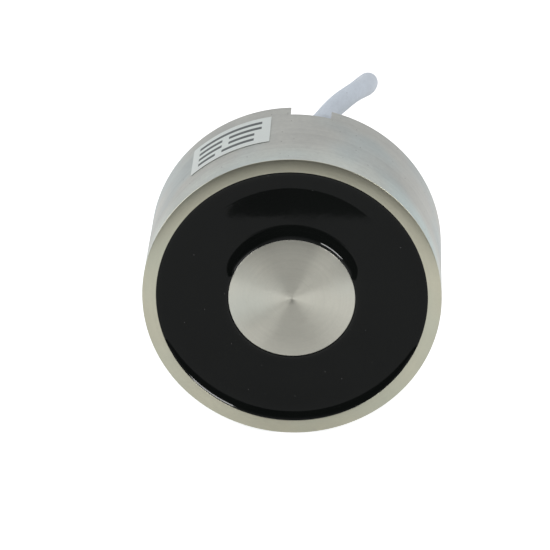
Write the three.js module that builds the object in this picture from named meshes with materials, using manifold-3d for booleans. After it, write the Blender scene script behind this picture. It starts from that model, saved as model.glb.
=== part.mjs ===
// Round pot-type holding electromagnet for a door lock or door holder: a steel pot with a centre pole,
// the wound coil inside, a resin-sealed pole face, and a two-core lead that leaves by a slot in the rear rim.
// Millimetres, +Z up. The magnet stands on its rim: its axis runs along Y, 40 mm above the floor,
// with the pole face towards -Y and the mounting face towards +Y.

import * as THREE from 'three';
import { mergeVertices } from 'three/addons/utils/BufferGeometryUtils.js';
import Module from 'manifold-3d';

const wasm = await Module();
wasm.setup();

// ---------- driving dimensions ----------

const GAP = 0.3;
const CUTTER_OVERRUN = 1;

const BODY_DIAMETER = 80;
const BODY_LENGTH = 38;
const WALL_INNER_RADIUS = 36.3;
const WEB_THICKNESS = 8.5;
const FRONT_CHAMFER = 0.3;
const REAR_CHAMFER = 0.5;
const ROUND_STEPS = 96;

const CORE_RADIUS = 16.95;
const CORE_CHAMFER = 0.2;
const SPIGOT_RADIUS = 9.7;
const THREAD_RADIUS = 3.4;
const THREAD_DEPTH = 13.5;
const THREAD_POINT = 2;
const THREAD_CHAMFER = 0.8;

const SLOT_ANGLE = 6;
const SLOT_WIDTH = 11;
const SLOT_DEPTH = 5.5;
const SLOT_END_RADIUS = 28;
const WIRE_HOLE_RADIUS = 4.5;
const WIRE_HOLE_DISTANCE = 27;

const SPOOL_CLEARANCE = 0.35;
const SPOOL_SLEEVE = 1.1;
const SPOOL_FLANGE = 1.5;
const SPOOL_RADIUS = 35.8;
const WINDING_RADIUS = 32.3;
const TAPE_THICKNESS = 0.5;
const LEAD_SPACE = 3.5;
const WASHER_THICKNESS = 0.5;
const START_WIRE = { distance: 20.6, angle: -52 };
const FINISH_WIRE = { distance: 31.4, angle: 58 };
const FLANGE_HOLE_RADIUS = 0.75;

const RESIN_FRONT_DIP = 1.4;
const RESIN_EDGE_DIP = 0.6;
const RESIN_MENISCUS = 1.7;
const RESIN_THICKNESS = 4.1;

const LABEL_FACETS = 9;
const LABEL_FIRST_FACET = 5;
const LABEL_THICKNESS = 0.15;
const LABEL_LIFT = 0.05;
const LABEL_FRONT_Y = -5.4;
const LABEL_REAR_Y = 12.4;

const CABLE_DIAMETER = 5.4;
const CABLE_SIDES = 10;
const WIRE_DIAMETER = 2;
const ENAMEL_WIRE_DIAMETER = 0.7;
const SPLICE_DIAMETER = 2.4;
const SPLICE_START = 18;
const SPLICE_END = 38;
const SPLICE_DISTANCE = 25.5;
const POTTING_RADIUS = 31;
const POTTING_DIP = 0.8;

const COIL_CENTRE = [-3, 61.1];
const COIL_MEAN_RADIUS = 32.4;
const COIL_SECTION_RADIUS = 6.61;
const COIL_STEPS = 48;
const COIL_SIDES = 12;
const TIE_ANGLE = 233;
const TIE_WIDTH = 4;
const TIE_THICKNESS = 0.7;
const TIE_HALF_HEIGHT = 5.75;
const TIE_CORNER = 3.1;

const TAIL_RADIUS = 22.8;
const TAIL_START = 230;
const TAIL_END = 285;
const TAIL_HEIGHT = 2.75;

// The lead's centreline from the sealed slot, over the back and down to the coil's first turn.
const LEAD_ROUTE = [
  [2, 16, 67.5],
  [5, 21, 72.5],
  [10, 28, 76.5],
  [15, 36.5, 77.5],
  [18.5, 46, 76],
  [19, 56, 73.5],
  [16.5, 65.5, 68],
  [11, 72.5, 60.5],
  [4.5, 77, 52.5],
  [-2, 80, 44.5],
  [-9, 81.5, 36.5],
  [-16, 80.5, 29],
  [-23, 77, 22.5],
  [-28.5, 70, 17],
  [-31.5, 60, 12.5],
  [-30, 49.5, 10],
  [-24, 40.1, 9.3],
];

// The sealed cores from the stripped end of the jacket down into the wire hole: [across, back, down].
const SEALED_CORE_ROUTE = [
  [1.1, 0.9, 1.2],
  [1.25, 2.6, 1.9],
  [1.5, 4.8, 2.2],
];

// The stripped cores inside the coil's ring: [distance from the ring's centre, angle, height].
const BROWN_END_ROUTE = [
  [23.9, 286.3, 2.8],
  [22.9, 300, 2.2],
  [20.3, 317, 1.7],
  [16.3, 335, 1.6],
  [12.1, 355, 1.6],
];
const BLUE_END_ROUTE = [
  [21.7, 287, 2.8],
  [19.7, 301, 2.2],
  [16.1, 319, 1.7],
  [11.7, 339, 1.6],
  [7.7, 361, 1.6],
];

// A crimped wire-end sleeve's outline: [radius, distance from the core's end].
const FERRULE_OUTLINE = [
  [0, 0],
  [1.5, 0],
  [1.5, 2],
  [1.15, 5.6],
  [0.75, 5.9],
  [0.7, 13.6],
  [0, 13.8],
];

// ---------- places worked out from them ----------

const FRONT_Y = -BODY_LENGTH / 2;
const REAR_Y = BODY_LENGTH / 2;
const AXIS_Z = BODY_DIAMETER / 2;
const HALF_STEP = Math.PI / ROUND_STEPS;
const BODY_RADIUS = BODY_DIAMETER / 2 / Math.cos(HALF_STEP);
const CHAMBER_REAR_Y = REAR_Y - WEB_THICKNESS;
const SLOT_FLOOR_Y = REAR_Y - SLOT_DEPTH;
const SPOOL_INNER = CORE_RADIUS + SPOOL_CLEARANCE;
const SPOOL_REAR_Y = CHAMBER_REAR_Y - LEAD_SPACE - GAP;
const SPOOL_FRONT_Y = FRONT_Y + RESIN_THICKNESS + GAP;
const WASHER_REAR_Y = CHAMBER_REAR_Y - GAP;
const WINDING_FRONT_Y = SPOOL_FRONT_Y + SPOOL_FLANGE + GAP;
const WINDING_REAR_Y = SPOOL_REAR_Y - SPOOL_FLANGE - GAP;
const LEAD_Y = (SPOOL_REAR_Y + WASHER_REAR_Y - WASHER_THICKNESS) / 2;

// ---------- shapes ----------

const at = (x, y, z) => new THREE.Vector3(x, y, z);
const radians = THREE.MathUtils.degToRad;

// Joins a geometry's shared corners and drops the slivers that a pointed end leaves.
function welded(geometry) {
  const bare = geometry.clone();
  bare.deleteAttribute('normal');
  bare.deleteAttribute('uv');
  const joined = mergeVertices(bare, 1e-4);
  const index = joined.getIndex().array;
  const kept = [];
  for (let i = 0; i < index.length; i += 3) {
    const [a, b, c] = [index[i], index[i + 1], index[i + 2]];
    if (a !== b && b !== c && c !== a) {
      kept.push(a, b, c);
    }
  }
  joined.setIndex(kept);
  return joined;
}

function toSolid(geometry) {
  const joined = welded(geometry);
  return new wasm.Manifold(new wasm.Mesh({
    numProp: 3,
    vertProperties: Float32Array.from(joined.getAttribute('position').array),
    triVerts: Uint32Array.from(joined.getIndex().array),
  }));
}

function toGeometry(solid) {
  const mesh = solid.getMesh();
  const geometry = new THREE.BufferGeometry();
  geometry.setAttribute('position', new THREE.BufferAttribute(Float32Array.from(mesh.vertProperties), 3));
  geometry.setIndex(Array.from(mesh.triVerts));
  geometry.computeVertexNormals();
  return geometry;
}

// Cuts each of the tools from a geometry.
function cut(geometry, ...tools) {
  const solid = tools.reduce((rest, tool) => rest.subtract(toSolid(tool)), toSolid(geometry));
  return toGeometry(solid);
}

// Turns a [radius, y] outline about the magnet's axis, with a flat at the bottom.
function turned(outline, steps = ROUND_STEPS) {
  const points = outline.map(([radius, y]) => new THREE.Vector2(radius, y));
  return welded(new THREE.LatheGeometry(points, steps, Math.PI / steps)).translate(0, 0, AXIS_Z);
}

// A plain ring about the magnet's axis.
function ring(inner, outer, front, rear) {
  return turned([[inner, front], [outer, front], [outer, rear], [inner, rear], [inner, front]]);
}

// Extrudes an outline drawn in X and Z along Y, from front to rear.
function pressed(shape, front, rear) {
  const geometry = new THREE.ExtrudeGeometry(shape, { depth: rear - front, bevelEnabled: false });
  return welded(geometry.rotateX(Math.PI / 2).translate(0, rear, 0));
}

// A round bar along Y at a distance and a clock angle from the magnet's axis.
function bar(radius, distance, angle, front, rear, sides = 24) {
  const spot = clock(distance, angle, 0);
  const geometry = new THREE.CylinderGeometry(radius, radius, rear - front, sides);
  return welded(geometry.translate(spot.x, (front + rear) / 2, spot.z));
}

// A point at a distance and a clock angle from the magnet's axis, seen from the pole face.
function clock(distance, angle, y) {
  const turn = radians(angle);
  return at(distance * Math.sin(turn), y, AXIS_Z + distance * Math.cos(turn));
}

// A point in the lead's coil: distance from its centre, angle from +X and height.
function inCoil(distance, angle, z) {
  const turn = radians(angle);
  return at(COIL_CENTRE[0] + distance * Math.cos(turn), COIL_CENTRE[1] + distance * Math.sin(turn), z);
}

function roundSection(radius, sides) {
  const shape = new THREE.Shape();
  for (let i = 0; i < sides; i += 1) {
    const turn = (2 * Math.PI * (i + 0.5)) / sides;
    const point = [radius * Math.cos(turn), radius * Math.sin(turn)];
    if (i === 0) {
      shape.moveTo(...point);
    } else {
      shape.lineTo(...point);
    }
  }
  shape.closePath();
  return shape;
}

// A round tube along a smooth curve through the points.
function tube(points, diameter, sides, steps) {
  const path = new THREE.CatmullRomCurve3(points, false, 'centripetal');
  const section = roundSection(diameter / 2, sides);
  return welded(new THREE.ExtrudeGeometry(section, { extrudePath: path, steps, bevelEnabled: false }));
}

function roundedSquare(halfSize, corner) {
  const shape = new THREE.Shape();
  const flat = halfSize - corner;
  const corners = [[flat, flat], [-flat, flat], [-flat, -flat], [flat, -flat]];
  corners.forEach(([x, y], i) => {
    shape.absarc(x, y, corner, (i * Math.PI) / 2, ((i + 1) * Math.PI) / 2, false);
  });
  shape.closePath();
  return shape;
}

// ---------- the steel body ----------

// The slot's outline with a round inner end, grown or shrunk by a margin, out to a given radius.
function slotOutline(margin, outerRadius) {
  const half = SLOT_WIDTH / 2 + margin;
  const turn = -radians(SLOT_ANGLE);
  const place = (across, along) => {
    const x = across * Math.cos(turn) - along * Math.sin(turn);
    const z = across * Math.sin(turn) + along * Math.cos(turn);
    return new THREE.Vector2(x, AXIS_Z + z);
  };
  const points = [place(half, outerRadius), place(-half, outerRadius)];
  const arcSteps = 12;
  for (let i = 0; i <= arcSteps; i += 1) {
    const angle = Math.PI + (i * Math.PI) / arcSteps;
    points.push(place(half * Math.cos(angle), SLOT_END_RADIUS + half * Math.sin(angle)));
  }
  return new THREE.Shape(points);
}

function potHousing() {
  const body = turned([
    [WALL_INNER_RADIUS, FRONT_Y],
    [BODY_RADIUS - FRONT_CHAMFER, FRONT_Y],
    [BODY_RADIUS, FRONT_Y + FRONT_CHAMFER],
    [BODY_RADIUS, REAR_Y - REAR_CHAMFER],
    [BODY_RADIUS - REAR_CHAMFER, REAR_Y],
    [SPIGOT_RADIUS + GAP, REAR_Y],
    [SPIGOT_RADIUS + GAP, CHAMBER_REAR_Y],
    [WALL_INNER_RADIUS, CHAMBER_REAR_Y],
    [WALL_INNER_RADIUS, FRONT_Y],
  ]);
  const slot = pressed(slotOutline(0, BODY_RADIUS + CUTTER_OVERRUN), SLOT_FLOOR_Y, REAR_Y + CUTTER_OVERRUN);
  const holeFront = CHAMBER_REAR_Y - CUTTER_OVERRUN;
  const holeRear = SLOT_FLOOR_Y + CUTTER_OVERRUN;
  const wireHole = bar(WIRE_HOLE_RADIUS, WIRE_HOLE_DISTANCE, SLOT_ANGLE, holeFront, holeRear);
  return cut(body, slot, wireHole);
}

function poleCore() {
  const threadEnd = REAR_Y - THREAD_DEPTH;
  return turned([
    [0, FRONT_Y],
    [CORE_RADIUS - CORE_CHAMFER, FRONT_Y],
    [CORE_RADIUS, FRONT_Y + CORE_CHAMFER],
    [CORE_RADIUS, CHAMBER_REAR_Y - GAP],
    [SPIGOT_RADIUS, CHAMBER_REAR_Y - GAP],
    [SPIGOT_RADIUS, REAR_Y],
    [THREAD_RADIUS + THREAD_CHAMFER, REAR_Y],
    [THREAD_RADIUS, REAR_Y - THREAD_CHAMFER],
    [THREAD_RADIUS, threadEnd],
    [0, threadEnd - THREAD_POINT],
  ]);
}

// Cast sealing resin between the pole and the rim, hollowed by its meniscus.
function resinRing() {
  const inner = CORE_RADIUS + GAP;
  const outer = WALL_INNER_RADIUS - GAP;
  const rear = FRONT_Y + RESIN_THICKNESS;
  return turned([
    [inner, FRONT_Y + RESIN_EDGE_DIP],
    [inner + RESIN_MENISCUS, FRONT_Y + RESIN_FRONT_DIP],
    [outer - RESIN_MENISCUS, FRONT_Y + RESIN_FRONT_DIP],
    [outer, FRONT_Y + RESIN_EDGE_DIP],
    [outer, rear],
    [inner, rear],
    [inner, FRONT_Y + RESIN_EDGE_DIP],
  ]);
}

// A thin printed film wrapped on the rim's upper left.
function label() {
  const inner = BODY_RADIUS + LABEL_LIFT;
  const outer = inner + LABEL_THICKNESS;
  const station = (i, radius) => {
    const turn = -(2 * i + LABEL_FIRST_FACET) * HALF_STEP;
    return new THREE.Vector2(radius * Math.sin(turn), AXIS_Z + radius * Math.cos(turn));
  };
  const points = [];
  for (let i = 0; i <= LABEL_FACETS; i += 1) {
    points.push(station(i, outer));
  }
  for (let i = LABEL_FACETS; i >= 0; i -= 1) {
    points.push(station(i, inner));
  }
  return pressed(new THREE.Shape(points), LABEL_FRONT_Y, LABEL_REAR_Y);
}

// ---------- the winding ----------

function bobbin() {
  const sleeve = SPOOL_INNER + SPOOL_SLEEVE;
  const body = turned([
    [SPOOL_INNER, SPOOL_FRONT_Y],
    [SPOOL_RADIUS, SPOOL_FRONT_Y],
    [SPOOL_RADIUS, SPOOL_FRONT_Y + SPOOL_FLANGE],
    [sleeve, SPOOL_FRONT_Y + SPOOL_FLANGE],
    [sleeve, SPOOL_REAR_Y - SPOOL_FLANGE],
    [SPOOL_RADIUS, SPOOL_REAR_Y - SPOOL_FLANGE],
    [SPOOL_RADIUS, SPOOL_REAR_Y],
    [SPOOL_INNER, SPOOL_REAR_Y],
    [SPOOL_INNER, SPOOL_FRONT_Y],
  ]);
  const holes = [START_WIRE, FINISH_WIRE].map((wire) => {
    const front = SPOOL_REAR_Y - SPOOL_FLANGE - CUTTER_OVERRUN;
    return bar(FLANGE_HOLE_RADIUS, wire.distance, wire.angle, front, SPOOL_REAR_Y + CUTTER_OVERRUN, 12);
  });
  return cut(body, ...holes);
}

function copperWinding() {
  return ring(SPOOL_INNER + SPOOL_SLEEVE + GAP, WINDING_RADIUS, WINDING_FRONT_Y, WINDING_REAR_Y);
}

function windingTape() {
  const inner = WINDING_RADIUS + GAP;
  return ring(inner, inner + TAPE_THICKNESS, WINDING_FRONT_Y, WINDING_REAR_Y);
}

function insulationWasher() {
  const disc = ring(SPOOL_INNER, SPOOL_RADIUS, WASHER_REAR_Y - WASHER_THICKNESS, WASHER_REAR_Y);
  const front = WASHER_REAR_Y - WASHER_THICKNESS - CUTTER_OVERRUN;
  const rear = WASHER_REAR_Y + CUTTER_OVERRUN;
  return cut(disc, bar(WIRE_HOLE_RADIUS, WIRE_HOLE_DISTANCE, SLOT_ANGLE, front, rear));
}

// Each side of the lead space: -1 is the blue core with the winding's start, 1 is brown with its finish.
const SIDES = {
  brown: { hand: 1, wire: FINISH_WIRE },
  blue: { hand: -1, wire: START_WIRE },
};

function leadAngle(side, degrees) {
  return SLOT_ANGLE + SIDES[side].hand * degrees;
}

// From the stripped end of the jacket, down the wire hole and round to the splice.
function innerLeadPoints(side) {
  const hand = SIDES[side].hand;
  const [x, y, z] = LEAD_ROUTE[0];
  return [
    ...SEALED_CORE_ROUTE.map(([across, back, down]) => at(x + hand * across - 0.15, y - back, z - down)),
    clock(SPLICE_DISTANCE - 0.4, leadAngle(side, 7.5), LEAD_Y + 0.4),
    clock(SPLICE_DISTANCE, leadAngle(side, 12), LEAD_Y),
    clock(SPLICE_DISTANCE, leadAngle(side, SPLICE_START - 1), LEAD_Y),
  ];
}

function innerLead(side) {
  return tube(innerLeadPoints(side), WIRE_DIAMETER - 0.1, 8, 14);
}

function spliceSleeve(side) {
  const points = [];
  const steps = 4;
  for (let i = 0; i <= steps; i += 1) {
    const angle = leadAngle(side, SPLICE_START + ((SPLICE_END - SPLICE_START) * i) / steps);
    points.push(clock(SPLICE_DISTANCE, angle, LEAD_Y));
  }
  return tube(points, SPLICE_DIAMETER, 10, 6);
}

// The enamelled wire from the splice to the winding, through its hole in the flange.
function enamelWire(side) {
  const { wire } = SIDES[side];
  const middle = (SPLICE_DISTANCE + wire.distance) / 2;
  const first = leadAngle(side, SPLICE_END + 1);
  return tube([
    clock(SPLICE_DISTANCE, first, LEAD_Y),
    clock(middle, (first + wire.angle) / 2, LEAD_Y),
    clock(wire.distance, wire.angle - SIDES[side].hand * 2, LEAD_Y - 0.4),
    clock(wire.distance, wire.angle, LEAD_Y - 1.6),
    clock(wire.distance, wire.angle, WINDING_REAR_Y + GAP),
  ], ENAMEL_WIRE_DIAMETER, 8, 14);
}

// ---------- the lead ----------

const leadPoints = LEAD_ROUTE.map((point) => at(...point));

function ringAboutZ(sectionRadius) {
  const points = [];
  for (let i = 0; i <= COIL_SIDES; i += 1) {
    const turn = (2 * Math.PI * (i + 0.5)) / COIL_SIDES;
    const radius = sectionRadius / Math.cos(Math.PI / COIL_SIDES);
    const out = COIL_MEAN_RADIUS + radius * Math.cos(turn);
    points.push(new THREE.Vector2(out, COIL_SECTION_RADIUS + radius * Math.sin(turn)));
  }
  const geometry = welded(new THREE.LatheGeometry(points, COIL_STEPS));
  return geometry.rotateX(Math.PI / 2).translate(COIL_CENTRE[0], COIL_CENTRE[1], 0);
}

// An outline drawn in the coil's section at the tie, run a width along the turns.
function acrossCoil(shape, width) {
  const geometry = new THREE.ExtrudeGeometry(shape, { depth: width, bevelEnabled: false, curveSegments: 4 });
  const spot = inCoil(COIL_MEAN_RADIUS, TIE_ANGLE, COIL_SECTION_RADIUS);
  geometry.translate(0, 0, -width / 2).rotateX(Math.PI / 2).rotateZ(radians(TIE_ANGLE));
  return welded(geometry.translate(spot.x, spot.y, spot.z));
}

function cableCoil() {
  const groove = roundedSquare(COIL_SECTION_RADIUS + CUTTER_OVERRUN, CUTTER_OVERRUN);
  groove.holes.push(roundedSquare(TIE_HALF_HEIGHT - GAP, TIE_CORNER - GAP));
  return cut(ringAboutZ(COIL_SECTION_RADIUS), acrossCoil(groove, TIE_WIDTH + 2 * GAP));
}

function coilTie() {
  const loop = roundedSquare(TIE_HALF_HEIGHT + TIE_THICKNESS, TIE_CORNER + TIE_THICKNESS);
  loop.holes.push(roundedSquare(TIE_HALF_HEIGHT, TIE_CORNER));
  return acrossCoil(loop, TIE_WIDTH);
}

function cableLead() {
  const whole = tube(leadPoints, CABLE_DIAMETER, CABLE_SIDES, 36);
  return cut(whole, ringAboutZ(COIL_SECTION_RADIUS + GAP));
}

function cableTail() {
  const points = [];
  const steps = 5;
  for (let i = 0; i <= steps; i += 1) {
    const angle = TAIL_START + ((TAIL_END - TAIL_START) * i) / steps;
    points.push(inCoil(TAIL_RADIUS, angle, TAIL_HEIGHT));
  }
  return tube(points, CABLE_DIAMETER, CABLE_SIDES, 8);
}

function leadEnd(route) {
  return tube(route.map((point) => inCoil(...point)), WIRE_DIAMETER, 8, 12);
}

// A wire-end sleeve along the core's last direction: a flared plastic collar and a round pin.
function ferrule(route) {
  const last = inCoil(...route[route.length - 1]);
  const path = new THREE.CatmullRomCurve3(route.map((point) => inCoil(...point)), false, 'centripetal');
  const direction = path.getTangent(1).setZ(0).normalize();
  const outline = FERRULE_OUTLINE.map(([radius, along]) => new THREE.Vector2(radius, along));
  const geometry = welded(new THREE.LatheGeometry(outline, 12));
  const turn = new THREE.Quaternion().setFromUnitVectors(at(0, 1, 0), direction);
  const start = last.addScaledVector(direction, GAP);
  return geometry.applyQuaternion(turn).translate(start.x, start.y, start.z);
}

// Black sealing compound round the end of the jacket, in the slot's inner end and the wire hole.
function slotPotting() {
  const plug = pressed(slotOutline(-GAP, POTTING_RADIUS), SLOT_FLOOR_Y + GAP, REAR_Y - POTTING_DIP);
  const neckRear = SLOT_FLOOR_Y + CUTTER_OVERRUN;
  const neck = bar(WIRE_HOLE_RADIUS - GAP, WIRE_HOLE_DISTANCE, SLOT_ANGLE, CHAMBER_REAR_Y + GAP, neckRear);
  const jacket = tube(leadPoints, CABLE_DIAMETER + 2 * GAP, CABLE_SIDES, 36);
  const cores = Object.keys(SIDES).map((side) => {
    return toSolid(tube(innerLeadPoints(side), WIRE_DIAMETER + 2 * GAP, 8, 14));
  });
  const filled = toSolid(plug).add(toSolid(neck)).subtract(toSolid(jacket));
  return toGeometry(cores.reduce((rest, core) => rest.subtract(core), filled));
}

// ---------- the assembly ----------

const FINISHES = {
  steel: { color: 0xaaaca8, roughness: 0.45, metalness: 0.9 },
  turnedSteel: { color: 0xb9bbb2, roughness: 0.35, metalness: 0.95 },
  resin: { color: 0x101110, roughness: 0.15, metalness: 0 },
  film: { color: 0xa9b2b2, roughness: 0.4, metalness: 0.3 },
  nylon: { color: 0xd8d5c8, roughness: 0.5, metalness: 0 },
  copper: { color: 0xb4602c, roughness: 0.35, metalness: 0.9 },
  tape: { color: 0xd9b23a, roughness: 0.4, metalness: 0 },
  card: { color: 0x9c8a63, roughness: 0.8, metalness: 0 },
  jacket: { color: 0xbdc7d1, roughness: 0.5, metalness: 0 },
  brown: { color: 0x5a3420, roughness: 0.5, metalness: 0 },
  blue: { color: 0x2c5fa8, roughness: 0.5, metalness: 0 },
  blackPlastic: { color: 0x1b1b1c, roughness: 0.5, metalness: 0 },
  tin: { color: 0xc9cbc9, roughness: 0.3, metalness: 0.9 },
};

const magnet = new THREE.Group();

function add(name, geometry, finish) {
  const mesh = new THREE.Mesh(geometry, new THREE.MeshStandardMaterial(FINISHES[finish]));
  mesh.name = name;
  magnet.add(mesh);
}

add('pot_housing', potHousing(), 'steel');
add('pole_core', poleCore(), 'turnedSteel');
add('resin_ring', resinRing(), 'resin');
add('rating_label', label(), 'film');
add('bobbin', bobbin(), 'nylon');
add('copper_winding', copperWinding(), 'copper');
add('winding_tape', windingTape(), 'tape');
add('insulation_washer', insulationWasher(), 'card');
add('slot_potting', slotPotting(), 'resin');
for (const side of Object.keys(SIDES)) {
  add(`inner_lead_${side}`, innerLead(side), side);
  add(`splice_sleeve_${side}`, spliceSleeve(side), 'blackPlastic');
}
add('winding_start_wire', enamelWire('blue'), 'copper');
add('winding_finish_wire', enamelWire('brown'), 'copper');
add('cable_lead', cableLead(), 'jacket');
add('cable_coil', cableCoil(), 'jacket');
add('coil_tie', coilTie(), 'blackPlastic');
add('cable_tail', cableTail(), 'jacket');
add('lead_end_brown', leadEnd(BROWN_END_ROUTE), 'brown');
add('lead_end_blue', leadEnd(BLUE_END_ROUTE), 'blue');
add('ferrule_brown', ferrule(BROWN_END_ROUTE), 'tin');
add('ferrule_blue', ferrule(BLUE_END_ROUTE), 'tin');

export default magnet;
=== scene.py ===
import math

import bmesh
import bpy
from bpy.props import FloatProperty, FloatVectorProperty, IntProperty, PointerProperty
from mathutils import Matrix, Vector


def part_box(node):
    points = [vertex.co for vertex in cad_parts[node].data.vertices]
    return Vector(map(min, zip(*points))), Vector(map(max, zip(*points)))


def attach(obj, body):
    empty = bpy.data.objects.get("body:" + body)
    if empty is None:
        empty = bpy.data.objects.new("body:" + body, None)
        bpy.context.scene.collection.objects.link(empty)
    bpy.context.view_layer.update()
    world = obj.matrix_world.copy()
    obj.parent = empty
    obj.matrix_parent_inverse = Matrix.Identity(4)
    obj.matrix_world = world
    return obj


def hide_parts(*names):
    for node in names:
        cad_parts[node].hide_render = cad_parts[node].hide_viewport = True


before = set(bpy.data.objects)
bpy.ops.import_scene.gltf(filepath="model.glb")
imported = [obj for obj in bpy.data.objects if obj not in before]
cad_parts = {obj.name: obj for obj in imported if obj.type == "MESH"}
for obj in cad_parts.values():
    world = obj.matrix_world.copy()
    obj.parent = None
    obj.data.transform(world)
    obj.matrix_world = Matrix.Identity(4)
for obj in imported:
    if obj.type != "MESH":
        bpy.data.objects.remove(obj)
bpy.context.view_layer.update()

bl_info = {
    "name": "Holding electromagnet",
    "version": (1, 0, 0),
    "blender": (4, 5, 0),
    "location": "3D View > Sidebar > Magnet",
    "description": "Builds the looks of a round holding electromagnet with a coiled lead",
    "category": "Add Mesh",
}

MM = 0.001

# One name for the lamp that lights only the resin and for the collection of what it lights.
RESIN_LAMP = "resin_lamp"

# ---------- places from the frame ----------

POT_LOW, POT_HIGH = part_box("pot_housing")
CORE_LOW, CORE_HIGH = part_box("pole_core")
RESIN_LOW, RESIN_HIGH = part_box("resin_ring")
BOBBIN_LOW, BOBBIN_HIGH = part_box("bobbin")
WINDING_LOW, WINDING_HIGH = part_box("copper_winding")
TAPE_LOW, TAPE_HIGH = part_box("winding_tape")
WASHER_LOW, WASHER_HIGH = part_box("insulation_washer")
LABEL_LOW, LABEL_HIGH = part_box("rating_label")

GAP = 0.3 * MM
AXIS_Z = (POT_LOW.z + POT_HIGH.z) / 2
FRONT_Y = POT_LOW.y
REAR_Y = POT_HIGH.y
BODY_RADIUS = (POT_HIGH.z - POT_LOW.z) / 2
CORE_RADIUS = (CORE_HIGH.x - CORE_LOW.x) / 2
WALL_RADIUS = (RESIN_HIGH.x - RESIN_LOW.x) / 2 + GAP
CHAMBER_REAR_Y = WASHER_HIGH.y + GAP
SLOT_FLOOR_Y = REAR_Y - 5.5 * MM
SLOT_ANGLE = math.radians(6)
SLOT_WIDTH = 11 * MM
SLOT_END_RADIUS = 28 * MM
WIRE_HOLE_RADIUS = 4.5 * MM
WIRE_HOLE_DISTANCE = 27 * MM
SPIGOT_RADIUS = 10 * MM
SPOOL_CLEARANCE = 0.35 * MM
SPOOL_WALL = 1.1 * MM

# The lead's centreline from the sealed slot, over the back and down to the coil, in millimetres.
LEAD_ROUTE = [
    (2, 16, 67.5),
    (5, 21, 72.5),
    (10, 28, 76.5),
    (15, 36.5, 77.5),
    (18.5, 46, 76),
    (19, 56, 73.5),
    (16.5, 65.5, 68),
    (11, 72.5, 60.5),
    (4.5, 77, 52.5),
    (-2, 80, 44.5),
    (-9, 81.5, 36.5),
    (-16, 80.5, 29),
    (-23, 77, 22.5),
    (-28.5, 70, 17),
    (-31.5, 60, 12.5),
    (-30, 49.5, 10),
    (-24, 40.1, 9.3),
]
COIL_CENTRE = Vector((-3, 61.1, 0)) * MM
COIL_RADIUS = 32.4 * MM
COIL_HEIGHT = 6.61 * MM
COIL_BUNDLE = 3.86 * MM
COIL_FIRST_ANGLE = 225
COIL_FIRST_LEAN = 135
COIL_TURNS = 3.5
COIL_POINTS_PER_TURN = 16
TIE_ANGLE = 233
TIE_HALF_HEIGHT = 5.75 * MM
TIE_CORNER = 3.1 * MM
TIE_THICKNESS = 0.7 * MM
TIE_WIDTH = 4.0 * MM
DROP_ANGLE = 180
TAIL_ANGLE = 60
TAIL_RADIUS = 22.8 * MM
TAIL_HEIGHT = 2.75 * MM

# The stripped cores: distance from the coil's centre, angle and height.
BROWN_END_ROUTE = [(23.9, 286.3, 2.8), (22.9, 300, 2.2), (20.3, 317, 1.7), (16.3, 335, 1.6), (12.1, 355, 1.6)]
BLUE_END_ROUTE = [(21.7, 287, 2.8), (19.7, 301, 2.2), (16.1, 319, 1.7), (11.7, 339, 1.6), (7.7, 361, 1.6)]


# ---------- settings ----------

def length(name, description, default):
    """A length that a user can change, in metres."""
    return FloatProperty(
        name=name, description=description, default=default, min=0.0, unit="LENGTH", precision=5
    )


def colour(name, description, default):
    """A colour that a user can change."""
    return FloatVectorProperty(
        name=name, description=description, default=default, size=3, min=0.0, max=1.0, subtype="COLOR"
    )


class MagnetSizes(bpy.types.PropertyGroup):
    """Sizes of the looks that the frame doesn't fix."""

    turning_steps: IntProperty(
        name="Turning steps", description="Facets round a turned piece", default=256, min=48
    )
    rim_round: length("Rim rounding", "Rounding of the pot's front edges", 0.25 * MM)
    rear_round: length("Rear rounding", "Broken edge at the pot's rear", 0.5 * MM)
    slot_round: length("Slot rounding", "Broken edges of the lead's slot", 0.2 * MM)
    pole_round: length("Pole rounding", "Rounding of the pole's front edge", 0.2 * MM)
    resin_dip: length("Resin dip", "How far the resin lies behind the face", 1.4 * MM)
    resin_edge: length("Resin edge", "How far the resin's raised edge lies behind the face", 0.1 * MM)
    rim_meniscus: length("Rim meniscus", "Width of the resin's raised edge at the rim", 5.2 * MM)
    core_meniscus: length("Pole meniscus", "Width of the resin's raised edge at the pole", 3.7 * MM)
    thread_pitch: length("Thread pitch", "Pitch of the mounting thread", 1.25 * MM)
    thread_minor: length("Thread minor radius", "Inner radius of the mounting thread", 3.35 * MM)
    thread_major: length("Thread major radius", "Outer radius of the mounting thread", 4.0 * MM)
    thread_depth: length("Thread depth", "Depth of the mounting hole", 13.5 * MM)
    wire_gauge: length("Winding wire", "Diameter of the enamelled wire", 0.7 * MM)
    cable_diameter: length("Lead diameter", "Outer diameter of the lead", 5.4 * MM)
    core_diameter: length("Core diameter", "Diameter of a stripped core", 2.0 * MM)


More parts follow.
